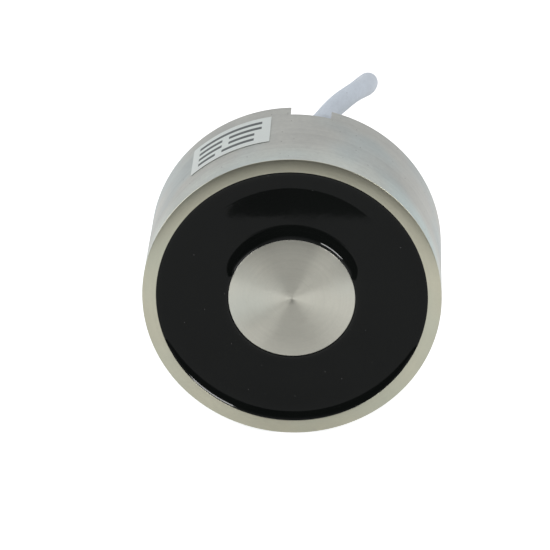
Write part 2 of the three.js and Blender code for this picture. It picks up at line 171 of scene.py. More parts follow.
class MagnetColours(bpy.types.PropertyGroup):
    """Base colours of the finishes, linear."""

    zinc: colour("Zinc plating", "The pot's side and back", (0.64, 0.65, 0.62))
    bare_steel: colour("Turned steel", "The rim's face and the pole", (0.64, 0.63, 0.57))
    resin: colour("Resin", "The cast resin", (0.0022, 0.0026, 0.0024))
    jacket: colour("Jacket", "The lead's jacket", (0.66, 0.715, 0.79))
    film: colour("Label film", "The label", (0.80, 0.84, 0.81))
    ink: colour("Print", "The label's print", (0.105, 0.118, 0.120))
    nylon: colour("Nylon", "The spool", (0.72, 0.68, 0.56))
    copper: colour("Copper", "The enamelled wire", (0.62, 0.24, 0.09))
    tape: colour("Tape", "The winding's tape", (0.70, 0.42, 0.05))
    board: colour("Board", "The insulation washer", (0.30, 0.22, 0.13))
    brown: colour("Brown core", "The brown core", (0.085, 0.030, 0.012))
    blue: colour("Blue core", "The blue core", (0.020, 0.090, 0.36))
    black: colour("Black plastic", "The strap and sleeves", (0.012, 0.012, 0.013))
    collar: colour("Collar", "The ferrules' collars", (0.30, 0.31, 0.32))
    tin: colour("Tinned pin", "The ferrules' pins", (0.66, 0.66, 0.64))


class StageSettings(bpy.types.PropertyGroup):
    """The floor, the lights and the camera."""

    floor: colour("Floor", "The floor's colour", (0.80, 0.80, 0.80))
    floor_lift: FloatProperty(
        name="Floor lift", description="Light added to the floor as the camera sees it", default=0.7, min=0.0
    )
    near_floor: length("Near floor", "How far the pale floor reaches in front of the face", 0.172)
    camera_azimuth: FloatProperty(
        name="Azimuth", description="Camera's turn to the right", default=math.radians(2.108), subtype="ANGLE"
    )
    camera_elevation: FloatProperty(
        name="Elevation", description="Camera's height angle", default=math.radians(23.94), subtype="ANGLE"
    )
    camera_distance: length("Distance", "Camera's distance from its aim", 0.9308)
    camera_lens: FloatProperty(
        name="Lens", description="Focal length for a 36 mm sensor", default=229.1, unit="CAMERA"
    )
    camera_aim: FloatVectorProperty(
        name="Aim", description="The point the camera looks at", default=(-0.00446, -0.019, 0.04678), size=3,
        subtype="TRANSLATION", precision=5,
    )


def sizes():
    """The scene's sizes."""
    return bpy.context.scene.magnet_sizes


def colours():
    """The scene's colours."""
    return bpy.context.scene.magnet_colours


# ---------- mesh helpers ----------

def placed(name, data):
    """A new object with its data, linked to the scene."""
    made = bpy.data.objects.new(name, data)
    bpy.context.scene.collection.objects.link(made)
    return made


def finish_mesh(name, mesh, materials, node=None, smooth_angle=32):
    """Makes an object of a mesh, shades it, rides it on the body and stands it for its CAD node."""
    for material in materials:
        mesh.materials.append(material)
    mesh.shade_smooth()
    mesh.set_sharp_from_angle(angle=math.radians(smooth_angle))
    piece = placed(name, mesh)
    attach(piece, "root")
    if node:
        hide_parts(node)
    return piece


def mesh_from(name, build):
    """Runs a builder on an empty bmesh and returns the cleaned mesh, its faces pointing out."""
    work = bmesh.new()
    build(work)
    bmesh.ops.remove_doubles(work, verts=work.verts, dist=1e-7)
    bmesh.ops.recalc_face_normals(work, faces=work.faces)
    mesh = bpy.data.meshes.new(name)
    work.to_mesh(mesh)
    work.free()
    return mesh


def rounded(corners, steps=5):
    """An outline of (radius, y) points from corners of (radius, y, rounding), each corner an arc."""
    points = []
    count = len(corners)
    for i, (r, y, fillet) in enumerate(corners):
        here = Vector((r, y))
        before = Vector(corners[i - 1][:2]) - here
        after = Vector(corners[(i + 1) % count][:2]) - here
        if fillet <= 0 or before.length < 1e-9 or after.length < 1e-9:
            points.append((r, y))
            continue
        before.normalize()
        after.normalize()
        half = before.angle(after) / 2
        reach = fillet / math.tan(half)
        centre = here + (before + after).normalized() * fillet / math.sin(half)
        start = here + before * reach - centre
        turn = before.angle_signed(after)
        sweep = math.copysign(math.pi - abs(turn), -turn)
        for step in range(steps + 1):
            spin = Matrix.Rotation(-sweep * step / steps, 2)
            points.append(tuple(centre + spin @ start))
    return points


def ring_of(work, radius, y, segments, wobble):
    """One ring of points about the magnet's axis, or a single point on it."""
    if radius < 1e-9:
        return [work.verts.new((0, y, AXIS_Z))]
    ring = []
    for i in range(segments):
        turn = 2 * math.pi * i / segments
        reach = wobble(radius, y, turn) if wobble else radius
        ring.append(work.verts.new((reach * math.sin(turn), y, AXIS_Z + reach * math.cos(turn))))
    return ring


def join_rings(work, first, second):
    """Faces between two neighbouring rings."""
    count = max(len(first), len(second))
    if len(first) == 1 and len(second) == 1:
        return
    for i in range(count):
        j = (i + 1) % count
        if len(first) == 1:
            work.faces.new((first[0], second[i], second[j]))
        elif len(second) == 1:
            work.faces.new((first[i], first[j], second[0]))
        else:
            work.faces.new((first[i], first[j], second[j], second[i]))


def turned(name, outline, segments=None, wobble=None):
    """A closed body turned about the magnet's axis; the outline starts and ends on the axis or closes."""
    segments = segments or sizes().turning_steps

    def build(work):
        rings = [ring_of(work, r, y, segments, wobble) for r, y in outline]
        pairs = list(zip(rings, rings[1:]))
        if outline[0][0] > 1e-9:
            pairs.append((rings[-1], rings[0]))
        for first, second in pairs:
            join_rings(work, first, second)

    return mesh_from(name, build)


def clock(distance, angle, y):
    """A point at a distance and a clock angle, in radians, about the magnet's axis."""
    return Vector((distance * math.sin(angle), y, AXIS_Z + distance * math.cos(angle)))


def in_coil(distance, degrees, height):
    """A point about the coil's centre, from +X round to +Y."""
    turn = math.radians(degrees)
    return COIL_CENTRE + Vector((distance * math.cos(turn), distance * math.sin(turn), height))


def applied(piece):
    """Applies a piece's modifiers to its mesh."""
    graph = bpy.context.evaluated_depsgraph_get()
    result = bpy.data.meshes.new_from_object(piece.evaluated_get(graph))
    piece.modifiers.clear()
    piece.data = result
    return piece


def cut_away(mesh, cutters):
    """A mesh with the cutters' meshes taken out of it."""
    piece = placed("work", mesh)
    tools = []
    for cutter in cutters:
        tool = placed("cutter", cutter)
        modifier = piece.modifiers.new("cut", "BOOLEAN")
        modifier.operation = "DIFFERENCE"
        modifier.solver = "EXACT"
        modifier.object = tool
        tools.append(tool)
    applied(piece)
    result = piece.data
    for used in [piece, *tools]:
        bpy.data.objects.remove(used)
    return result


def broken_edges(mesh, width, angle=50, segments=3):
    """A mesh with its sharp edges rounded."""
    piece = placed("work", mesh)
    modifier = piece.modifiers.new("edges", "BEVEL")
    modifier.width = width
    modifier.segments = segments
    modifier.limit_method = "ANGLE"
    modifier.angle_limit = math.radians(angle)
    applied(piece)
    result = piece.data
    bpy.data.objects.remove(piece)
    return result


def prism(name, outline, front, rear):
    """An outline of (x, z) points run along Y."""
    def build(work):
        near = [work.verts.new((x, front, z)) for x, z in outline]
        far = [work.verts.new((x, rear, z)) for x, z in outline]
        work.faces.new(near)
        work.faces.new(reversed(far))
        join_rings(work, near, far)

    return mesh_from(name, build)


def smooth_handles(points):
    """Bezier handles of the centripetal curve through the points, which keeps its bends even."""
    first = (points[0] - points[1]) * 3 + points[2]
    last = (points[-1] - points[-2]) * 3 + points[-3]
    ends = [first, *points, last]
    knots = [max(math.sqrt((b - a).length), 1e-6) for a, b in zip(ends, ends[1:])]
    tangents = []
    for i in range(1, len(ends) - 1):
        before, after = knots[i - 1], knots[i]
        slope = (
            (ends[i] - ends[i - 1]) / before
            - (ends[i + 1] - ends[i - 1]) / (before + after)
            + (ends[i + 1] - ends[i]) / after
        )
        tangents.append(slope)
    left = [p - t * knots[i] / 3 for i, (p, t) in enumerate(zip(points, tangents))]
    right = [p + t * knots[i + 1] / 3 for i, (p, t) in enumerate(zip(points, tangents))]
    return left, right


def cord_curve(name, points, diameter, material, around=8):
    """A round cord along a smooth curve through the points."""
    curve = bpy.data.curves.new(name, "CURVE")
    curve.dimensions = "3D"
    curve.bevel_depth = diameter / 2
    curve.bevel_resolution = around
    curve.resolution_u = 10
    curve.use_fill_caps = True
    curve.materials.append(material)
    spline = curve.splines.new("BEZIER")
    spline.bezier_points.add(len(points) - 1)
    left, right = smooth_handles(points)
    for knot, point, before, after in zip(spline.bezier_points, points, left, right):
        knot.co = point
        knot.handle_left_type = knot.handle_right_type = "FREE"
        knot.handle_left = before
        knot.handle_right = after
    piece = placed(name, curve)
    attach(piece, "root")
    return piece


# ---------- shader helpers ----------

def node(tree, kind, settings=None, **inputs):
    """Adds a node; inputs are values or sockets, named with underscores for spaces."""
    made = tree.nodes.new(kind)
    for name, value in (settings or {}).items():
        setattr(made, name, value)
    for name, value in inputs.items():
        plug(tree, made, name.replace("_", " "), value)
    return made


def plug(tree, made, name, value):
    """Sets a node's input, or links a socket to it. A name such as "in 1" is the input's number."""
    socket = made.inputs[int(name[3:])] if name.startswith("in ") else made.inputs[name]
    if isinstance(value, bpy.types.NodeSocket):
        tree.links.new(value, socket)
    elif socket.type == "RGBA" and len(value) == 3:
        socket.default_value = (*value, 1.0)
    else:
        socket.default_value = value


def calc(tree, operation, first, second=0.0):
    """One step of arithmetic."""
    return node(tree, "ShaderNodeMath", {"operation": operation}, in_0=first, in_1=second).outputs[0]


def remap(tree, value, low, high, to_low=0.0, to_high=1.0, smooth=False):
    """A value moved from one range to another, clamped."""
    kind = "SMOOTHSTEP" if smooth else "LINEAR"
    made = node(
        tree, "ShaderNodeMapRange", {"interpolation_type": kind},
        Value=value, From_Min=low, From_Max=high, To_Min=to_low, To_Max=to_high,
    )
    return made.outputs[0]


def blend_colour(tree, factor, first, second, mode="MIX"):
    """Two colours mixed by a factor."""
    made = tree.nodes.new("ShaderNodeMix")
    made.data_type = "RGBA"
    made.blend_type = mode
    for socket, value in ((made.inputs[0], factor), (made.inputs[6], first), (made.inputs[7], second)):
        if isinstance(value, bpy.types.NodeSocket):
            tree.links.new(value, socket)
        elif socket.type == "RGBA":
            socket.default_value = (*value, 1.0)
        else:
            socket.default_value = value
    return made.outputs[2]


def new_group(name, inputs, outputs):
    """An empty shader node group with float inputs (name, default) and outputs (name, socket type)."""
    group = bpy.data.node_groups.new(name, "ShaderNodeTree")
    for label, default in inputs:
        socket = group.interface.new_socket(name=label, in_out="INPUT", socket_type="NodeSocketFloat")
        socket.default_value = default
    for label, kind in outputs:
        group.interface.new_socket(name=label, in_out="OUTPUT", socket_type=kind)
    source = group.nodes.new("NodeGroupInput").outputs
    target = group.nodes.new("NodeGroupOutput").inputs
    return group, source, target


def place_group(tree, group, **values):
    """Places a node group in a material with its own values."""
    made = tree.nodes.new("ShaderNodeGroup")
    made.node_tree = group
    for name, value in values.items():
        plug(tree, made, name.replace("_", " "), value)
    return made.outputs


def object_point(tree):
    """The point's place in the piece, in metres."""
    return node(tree, "ShaderNodeTexCoord").outputs["Object"]


def noise(tree, point, scale, detail=3.0, rough=0.5):
    """Soft noise in space, from 0 to 1."""
    made = node(tree, "ShaderNodeTexNoise", Vector=point, Scale=scale, Detail=detail, Roughness=rough)
    return made.outputs["Fac"]


def axis_distance(tree, point):
    """Distance of a point from the magnet's axis, in metres, and its parts."""
    parts = node(tree, "ShaderNodeSeparateXYZ", Vector=point).outputs
    height = calc(tree, "SUBTRACT", parts["Z"], AXIS_Z)
    across_square = calc(tree, "MULTIPLY", parts["X"], parts["X"])
    square = calc(tree, "ADD", across_square, calc(tree, "MULTIPLY", height, height))
    return calc(tree, "SQRT", square), parts, height


def mottle_group():
    """Cloudy variation with finer grain in it."""
    found = bpy.data.node_groups.get("mottle")
    if found:
        return found
    group, source, target = new_group(
        "mottle", [("Cloud Size", 0.01), ("Grain Size", 0.001), ("Grain Share", 0.3)],
        [("Value", "NodeSocketFloat"), ("Tint", "NodeSocketFloat")],
    )
    point = object_point(group)
    cloud = noise(group, point, calc(group, "DIVIDE", 1.0, source["Cloud Size"]), 3.0)
    grain = noise(group, point, calc(group, "DIVIDE", 1.0, source["Grain Size"]), 2.0)
    other = noise(group, point, calc(group, "DIVIDE", 0.6, source["Cloud Size"]), 1.0)
    share = source["Grain Share"]
    kept = calc(group, "MULTIPLY", cloud, calc(group, "SUBTRACT", 1.0, share))
    group.links.new(calc(group, "ADD", kept, calc(group, "MULTIPLY", grain, share)), target["Value"])
    group.links.new(other, target["Tint"])
    return group


def turning_group():
    """Fine tool marks round the magnet's axis: rings on a face, or bands along a side."""
    found = bpy.data.node_groups.get("turning marks")
    if found:
        return found
    group, source, target = new_group(
        "turning marks", [("Pitch", 0.0002), ("Side", 0.0)],
        [("Height", "NodeSocketFloat"), ("Bands", "NodeSocketFloat")],
    )
    point = object_point(group)
    radius, parts, _ = axis_distance(group, point)
    side = source["Side"]
    along = calc(
        group, "ADD",
        calc(group, "MULTIPLY", radius, calc(group, "SUBTRACT", 1.0, side)),
        calc(group, "MULTIPLY", parts["Y"], side),
    )
    steps = calc(group, "DIVIDE", along, source["Pitch"])
    fine = node(group, "ShaderNodeTexNoise", {"noise_dimensions": "1D"}, W=steps, Scale=1.0, Detail=2.0)
    broad = node(group, "ShaderNodeTexNoise", {"noise_dimensions": "1D"}, W=steps, Scale=0.09, Detail=3.0)
    group.links.new(fine.outputs["Fac"], target["Height"])
    group.links.new(broad.outputs["Fac"], target["Bands"])
    return group


def dust_group():
    """Sparse specks and faint handling marks."""
    found = bpy.data.node_groups.get("dust")
    if found:
        return found
    group, source, target = new_group(
        "dust", [("Speck Size", 0.0006), ("Amount", 0.1)],
        [("Mask", "NodeSocketFloat"), ("Smear", "NodeSocketFloat")],
    )
    point = object_point(group)
    cells = node(
        group, "ShaderNodeTexVoronoi", Vector=point, Scale=calc(group, "DIVIDE", 1.0, source["Speck Size"]),
    )
    near = calc(group, "LESS_THAN", cells.outputs["Distance"], 0.16)
    chosen = node(group, "ShaderNodeSeparateColor", Color=cells.outputs["Color"]).outputs[0]
    rare = calc(group, "LESS_THAN", chosen, source["Amount"])
    group.links.new(calc(group, "MULTIPLY", near, rare), target["Mask"])
    smear = noise(group, point, 55.0, 4.0, 0.6)
    group.links.new(remap(group, smear, 0.45, 0.75, smooth=True), target["Smear"])
    return group


def scaled(base, factor):
    """A colour times one factor, or times one for each channel, with no channel over 1."""
    factors = factor if isinstance(factor, tuple) else (factor, factor, factor)
    return tuple(min(1.0, channel * share) for channel, share in zip(base, factors))


def new_material(name):
    """A material with its Principled shader, and the two of them."""
    material = bpy.data.materials.new(name)
    material.use_nodes = True
    tree = material.node_tree
    shader = next(n for n in tree.nodes if n.type == "BSDF_PRINCIPLED")
    return material, tree, shader


def bump(tree, shader, height, distance, strength=1.0):
    """Feeds a height to the shader's normal."""
    made = node(tree, "ShaderNodeBump", Height=height, Distance=distance, Strength=strength)
    tree.links.new(made.outputs["Normal"], shader.inputs["Normal"])


# ---------- materials ----------

def zinc_plating():
    """Satin zinc on turned steel: pale, clouded with faint blue and warm tints, with a painted highlight that
    lightens it towards its front.
    """
    material, tree, shader = new_material("zinc_plating")
    base = colours().zinc
    mottle = place_group(tree, mottle_group(), Cloud_Size=0.014, Grain_Size=0.0011, Grain_Share=0.35)
    marks = place_group(tree, turning_group(), Pitch=0.00022, Side=1.0)
    dust = place_group(tree, dust_group(), Speck_Size=0.0011, Amount=0.05)
    cool = scaled(base, (0.96, 1.00, 1.02))
    warm = scaled(base, (1.03, 1.00, 0.98))
    tint = blend_colour(tree, remap(tree, mottle["Tint"], 0.38, 0.62, smooth=True), cool, warm)
    shade = remap(tree, mottle["Value"], 0.3, 0.7, 0.86, 1.10)
    shade = calc(tree, "MULTIPLY", shade, remap(tree, marks["Bands"], 0.3, 0.7, 0.96, 1.04))
    grey = node(tree, "ShaderNodeCombineColor", in_0=shade, in_1=shade, in_2=shade).outputs[0]
    toned = blend_colour(tree, 1.0, tint, grey, "MULTIPLY")
    # Painted highlight: the side is lightened near its front edge and a little darker further back, standing
    # in for the light its front edge catches.
    depth = axis_distance(tree, object_point(tree))[1]["Y"]
    edge = remap(tree, depth, FRONT_Y + 13 * MM, FRONT_Y + 3 * MM, 0.0, 1.0, smooth=True)
    front_highlight_tint = blend_colour(tree, edge, (0.93, 0.94, 0.94), (1.07, 1.12, 1.12))
    toned = blend_colour(tree, 1.0, toned, front_highlight_tint, "MULTIPLY")
    specked = blend_colour(tree, dust["Mask"], toned, (0.25, 0.24, 0.22))
    tree.links.new(specked, shader.inputs["Base Color"])
    rough = remap(tree, mottle["Value"], 0.3, 0.7, 0.36, 0.50)
    rough = calc(tree, "ADD", rough, calc(tree, "MULTIPLY", dust["Smear"], 0.05))
    tree.links.new(rough, shader.inputs["Roughness"])
    shader.inputs["Metallic"].default_value = 0.82
    height = calc(tree, "ADD", marks["Height"], calc(tree, "MULTIPLY", mottle["Value"], 0.8))
    bump(tree, shader, height, 0.000012, 0.6)
    return material


def turned_face(name, tone, rough, spread, pitch):
    """Faced steel with rings from the tool, whose light fans out across them."""
    material, tree, shader = new_material(name)
    base = scaled(colours().bare_steel, tone)
    marks = place_group(tree, turning_group(), Pitch=pitch, Side=0.0)
    mottle = place_group(tree, mottle_group(), Cloud_Size=0.012, Grain_Size=0.0008, Grain_Share=0.3)
    dust = place_group(tree, dust_group(), Speck_Size=0.0008, Amount=0.03)
    shade = remap(tree, marks["Bands"], 0.3, 0.7, 0.95, 1.04)
    shade = calc(tree, "MULTIPLY", shade, remap(tree, mottle["Value"], 0.3, 0.7, 0.95, 1.05))
    grey = node(tree, "ShaderNodeCombineColor", in_0=shade, in_1=shade, in_2=shade).outputs[0]
    toned = blend_colour(tree, 1.0, grey, base, "MULTIPLY")
    cool = scaled(base, (0.93, 1.0, 1.04))
    tinted = blend_colour(tree, remap(tree, mottle["Tint"], 0.5, 0.7, 0.0, 0.5), toned, cool)
    tree.links.new(tinted, shader.inputs["Base Color"])
    uneven = remap(tree, marks["Bands"], 0.3, 0.7, rough - 0.03, rough + 0.04)
    smeared = calc(tree, "ADD", uneven, calc(tree, "MULTIPLY", dust["Smear"], 0.03))
    tree.links.new(smeared, shader.inputs["Roughness"])
    shader.inputs["Metallic"].default_value = 1.0
    shader.inputs["Anisotropic"].default_value = spread
    shader.inputs["Anisotropic Rotation"].default_value = 0.25
    tangent = node(tree, "ShaderNodeTangent", {"direction_type": "RADIAL", "axis": "Y"})
    tree.links.new(tangent.outputs[0], shader.inputs["Tangent"])
    bump(tree, shader, marks["Height"], 0.000003, 0.4)
    return material


def cast_resin():
    """Glossy black epoxy: nearly flat, with a faint swell, small specks and a few dulled places."""
    material, tree, shader = new_material("cast_resin")
    mottle = place_group(tree, mottle_group(), Cloud_Size=0.02, Grain_Size=0.0015, Grain_Share=0.1)
    dust = place_group(tree, dust_group(), Speck_Size=0.0009, Amount=0.012)
    base = colours().resin
    toned = blend_colour(tree, mottle["Value"], base, scaled(base, 1.8))
    tree.links.new(blend_colour(tree, dust["Mask"], toned, (0.05, 0.05, 0.05)), shader.inputs["Base Color"])
    tree.links.new(remap(tree, dust["Smear"], 0.0, 1.0, 0.045, 0.09), shader.inputs["Roughness"])
    shader.inputs["Specular IOR Level"].default_value = 0.15
    bump(tree, shader, mottle["Value"], 0.00006, 0.5)
    return material


def pvc(name, base, rough=0.42, fine=0.0006):
    """Smooth extruded or moulded plastic with a faint grain and handling marks."""
    material, tree, shader = new_material(name)
    mottle = place_group(tree, mottle_group(), Cloud_Size=0.006, Grain_Size=fine, Grain_Share=0.4)
    dust = place_group(tree, dust_group(), Speck_Size=0.0009, Amount=0.05)
    toned = blend_colour(tree, remap(tree, mottle["Value"], 0.3, 0.7), scaled(base, 0.90), scaled(base, 1.07))
    tree.links.new(blend_colour(tree, dust["Mask"], toned, scaled(base, 0.55)), shader.inputs["Base Color"])
    uneven = remap(tree, mottle["Value"], 0.3, 0.7, rough - 0.05, rough + 0.06)
    smeared = calc(tree, "ADD", uneven, calc(tree, "MULTIPLY", dust["Smear"], 0.06))
    tree.links.new(smeared, shader.inputs["Roughness"])
    bump(tree, shader, mottle["Value"], 0.00003, 0.5)
    return material


def metal(name, base, rough, grain=0.0006):
    """Plain drawn or plated metal with a soft grain."""
    material, tree, shader = new_material(name)
    mottle = place_group(tree, mottle_group(), Cloud_Size=0.004, Grain_Size=grain, Grain_Share=0.4)
    toned = blend_colour(tree, remap(tree, mottle["Value"], 0.3, 0.7), scaled(base, 0.8), base)
    tree.links.new(toned, shader.inputs["Base Color"])
    uneven = remap(tree, mottle["Value"], 0.3, 0.7, rough - 0.06, rough + 0.08)
    tree.links.new(uneven, shader.inputs["Roughness"])
    shader.inputs["Metallic"].default_value = 1.0
    bump(tree, shader, mottle["Value"], 0.00001, 0.5)
    return material


def fibre_board():
    """Pressed board: speckled fibres, dry and matt."""
    material, tree, shader = new_material("fibre_board")
    mottle = place_group(tree, mottle_group(), Cloud_Size=0.003, Grain_Size=0.0004, Grain_Share=0.6)
    base = colours().board
    toned = blend_colour(tree, remap(tree, mottle["Value"], 0.35, 0.65), base, scaled(base, 1.5))
    tree.links.new(toned, shader.inputs["Base Color"])
    tree.links.new(remap(tree, mottle["Value"], 0.3, 0.7, 0.75, 0.9), shader.inputs["Roughness"])
    bump(tree, shader, mottle["Value"], 0.00005, 0.6)
    return material


# Plain bars that stand for the label's print, line by line: from and to, as shares of its width.
PRINT_LINES = [
    [(0.10, 0.90)],
    [(0.10, 0.42), (0.50, 0.90)],
    [(0.10, 0.42), (0.50, 0.82)],
    [(0.10, 0.34), (0.42, 0.82)],
]


def printed_film(low, high):
    """Silvery film with plain grey bars for its print; low and high are its span on the rim."""
    material, tree, shader = new_material("printed_film")
    point = object_point(tree)
    _, parts, height = axis_distance(tree, point)
    turn = node(tree, "ShaderNodeMath", {"operation": "ARCTAN2"}, in_0=parts["X"], in_1=height).outputs[0]
    across = remap(tree, turn, low, high)
    down = remap(tree, parts["Y"], LABEL_HIGH.y, LABEL_LOW.y)
    mask = print_mask(tree, across, down)
    mottle = place_group(tree, mottle_group(), Cloud_Size=0.008, Grain_Size=0.0009, Grain_Share=0.3)
    base = colours().film
    toned = blend_colour(tree, mottle["Value"], scaled(base, 0.92), scaled(base, 1.06))
    tree.links.new(blend_colour(tree, mask, toned, colours().ink), shader.inputs["Base Color"])
    tree.links.new(remap(tree, mask, 0.0, 1.0, 0.34, 0.55), shader.inputs["Roughness"])
    tree.links.new(remap(tree, mask, 0.0, 1.0, 0.35, 0.0), shader.inputs["Metallic"])
    bump(tree, shader, mottle["Value"], 0.00003, 0.4)
    return material


def print_mask(tree, across, down):
    """Solid bars in lines, with no lettering: 1 on a bar, 0 off it."""
    total = None
    first_line, line_pitch, half_height, soft_end = 0.19, 0.205, 0.052, 0.006
    for number, bars in enumerate(PRINT_LINES):
        middle = first_line + line_pitch * number
        offset = calc(tree, "ABSOLUTE", calc(tree, "SUBTRACT", down, middle))
        strip = remap(tree, offset, half_height, half_height * 0.8)
        for start, end in bars:
            centre, half = (start + end) / 2, (end - start) / 2
            reach = calc(tree, "ABSOLUTE", calc(tree, "SUBTRACT", across, centre))
            bar = calc(tree, "MULTIPLY", strip, remap(tree, reach, half, half - soft_end))
            total = bar if total is None else calc(tree, "MAXIMUM", total, bar)
    return total


# ---------- operators ----------

class PieceOperator:
    """What every piece's operator shares."""

    bl_options = {"REGISTER", "UNDO"}


class MAGNET_OT_stage(PieceOperator, bpy.types.Operator):
    """Adds the floor, the lights, the world and the camera."""

    bl_idname = "magnet.stage"
    bl_label = "Stage"

    def execute(self, context):
        add_camera(context.scene)
        add_floor()
        add_world(context.scene)
        add_lights()
        context.scene.view_settings.view_transform = "Standard"
        return {"FINISHED"}


def add_camera(scene):
    """The camera, turned to its aim."""
    stage = scene.magnet_stage
    data = bpy.data.cameras.new("camera")
    data.sensor_width = 36
    data.lens = stage.camera_lens
    data.clip_end = 20
    camera = placed("camera", data)
    azimuth, elevation = stage.camera_azimuth, stage.camera_elevation
    back = Vector((
        math.sin(azimuth) * math.cos(elevation), -math.cos(azimuth) * math.cos(elevation), math.sin(elevation)
    ))
    camera.location = Vector(stage.camera_aim) + back * stage.camera_distance
    camera.rotation_euler = back.to_track_quat("Z", "Y").to_euler()
    scene.camera = camera


def stage_card(name, corners, material):
    """A flat card on the stage, from its corners."""
    mesh = bpy.data.meshes.new(name)
    mesh.from_pydata(corners, [], [tuple(range(len(corners)))])
    mesh.materials.append(material)
    card = placed(name, mesh)
    return card


def rectangle(width, depth, y, z):
    """A rectangle's corners, with its middle on the magnet's plane."""
    side, near, far = width / 2, y - depth / 2, y + depth / 2
    return [(-side, near, z), (side, near, z), (side, far, z), (-side, far, z)]


def half_oval(half_width, reach, y, z, steps=32):
    """A half oval's points, from its straight side at y towards the front."""
    turns = [math.pi * i / steps for i in range(steps + 1)]
    return [(half_width * math.cos(t), y - reach * math.sin(t), z) for t in turns]


def add_floor():
    """A pale sheet, brightened for the camera and a little in reflections, with two dark cards on it.

    Only reflections show the cards: the face mirrors the far floor, and the resin mirrors the half oval
    as a lens-shaped patch.
    """
    stage = bpy.context.scene.magnet_stage
    sheet_size, mirror_lift = 8, 0.25
    material, tree, shader = new_material("floor")
    shader.inputs["Base Color"].default_value = (*stage.floor, 1)
    shader.inputs["Roughness"].default_value = 0.9
    shader.inputs["Specular IOR Level"].default_value = 0.1
    rays = node(tree, "ShaderNodeLightPath").outputs
    seen = calc(tree, "MULTIPLY", rays["Is Camera Ray"], stage.floor_lift)
    mirrored = calc(tree, "MULTIPLY", rays["Is Glossy Ray"], mirror_lift)
    tree.links.new(calc(tree, "ADD", seen, mirrored), shader.inputs["Emission Strength"])
    shader.inputs["Emission Color"].default_value = (1, 1, 1, 1)
    stage_card("floor", rectangle(sheet_size, sheet_size, 0, 0), material)
    far_width, far_depth, far_height = 6.0, 3.0, 1 * MM
    far_middle = FRONT_Y - stage.near_floor - far_depth / 2
    far_corners = rectangle(far_width, far_depth, far_middle, far_height)
    patch_start, patch_half_width, patch_reach, patch_height = FRONT_Y - 0.144, 0.0243, 0.031, 1.5 * MM
    patch_points = half_oval(patch_half_width, patch_reach, patch_start, patch_height)
    for card in (
        stage_card("far_floor", far_corners, matt("far_floor", 0.04)),
        stage_card("dark_patch", patch_points, matt("dark_patch", 0.16)),
    ):
        card.visible_camera = False
        card.visible_diffuse = False
        card.visible_shadow = False


def matt(name, tone):
    """A plain matt grey."""
    material, _, shader = new_material(name)
    shader.inputs["Base Color"].default_value = (tone, tone, tone, 1)
    shader.inputs["Roughness"].default_value = 1.0
    shader.inputs["Specular IOR Level"].default_value = 0.0
    return material


def add_world(scene):
    """A pale tent that opens on a dim room towards the front."""
    world = bpy.data.worlds.new("tent")
    world.use_nodes = True
    scene.world = world
    tree = world.node_tree
    background = next(n for n in tree.nodes if n.type == "BACKGROUND")
    direction = node(tree, "ShaderNodeTexCoord").outputs["Generated"]
    parts = node(tree, "ShaderNodeSeparateXYZ", Vector=direction).outputs
    front = remap(tree, parts["Y"], -0.45, -0.75, 0.0, 1.0, smooth=True)
    top = remap(tree, parts["Z"], 0.45, 0.7, 0.0, 1.0, smooth=True)
    dim = calc(tree, "MULTIPLY", front, calc(tree, "SUBTRACT", 1.0, top))
    shade = blend_colour(tree, dim, (0.56, 0.57, 0.58), (0.018, 0.018, 0.018))
    seen = node(tree, "ShaderNodeLightPath").outputs["Is Camera Ray"]
    tree.links.new(blend_colour(tree, seen, shade, (0.98, 0.98, 0.98)), background.inputs["Color"])
    background.inputs["Strength"].default_value = 1.0


def add_lights():
    """Three soft boxes, a strip lamp, and a lamp at the strip's place that lights only the resin.

    Each has a name, place, long side's direction, sizes and power, and faces the magnet.
    """
    strip_place, strip_along = (0.58, -0.70, 0.43), (0.36, 0.12, -0.24)
    lamps = [
        ("top_box", (0.0, -0.10, 0.95), (1, 0, 0), (1.0, 1.0), 1.0),
        ("left_box", (-0.95, -0.15, 0.45), (0, 1, 0), (0.7, 0.7), 3.1),
        ("right_box", (0.95, -0.15, 0.45), (0, 1, 0), (0.7, 0.7), 1.35),
        ("strip", strip_place, strip_along, (0.42, 0.04), 1.1),
        (RESIN_LAMP, strip_place, strip_along, (0.42, 0.16), 7.5),
    ]
    for name, place, along, size, power in lamps:
        data = bpy.data.lights.new(name, "AREA")
        data.shape = "RECTANGLE"
        data.size, data.size_y = size
        data.energy = power
        light = placed(name, data)
        light.location = place
        back = (Vector(place) - Vector((0, 0, AXIS_Z))).normalized()
        side = (Vector(along) - back * back.dot(Vector(along))).normalized()
        light.rotation_euler = Matrix((side, back.cross(side), back)).transposed().to_euler()
        if name == RESIN_LAMP:
            light.light_linking.receiver_collection = bpy.data.collections.new(RESIN_LAMP)


def eased(share):
    """A share from 0 to 1 that starts and ends gently."""
    return share * share * (3 - 2 * share)


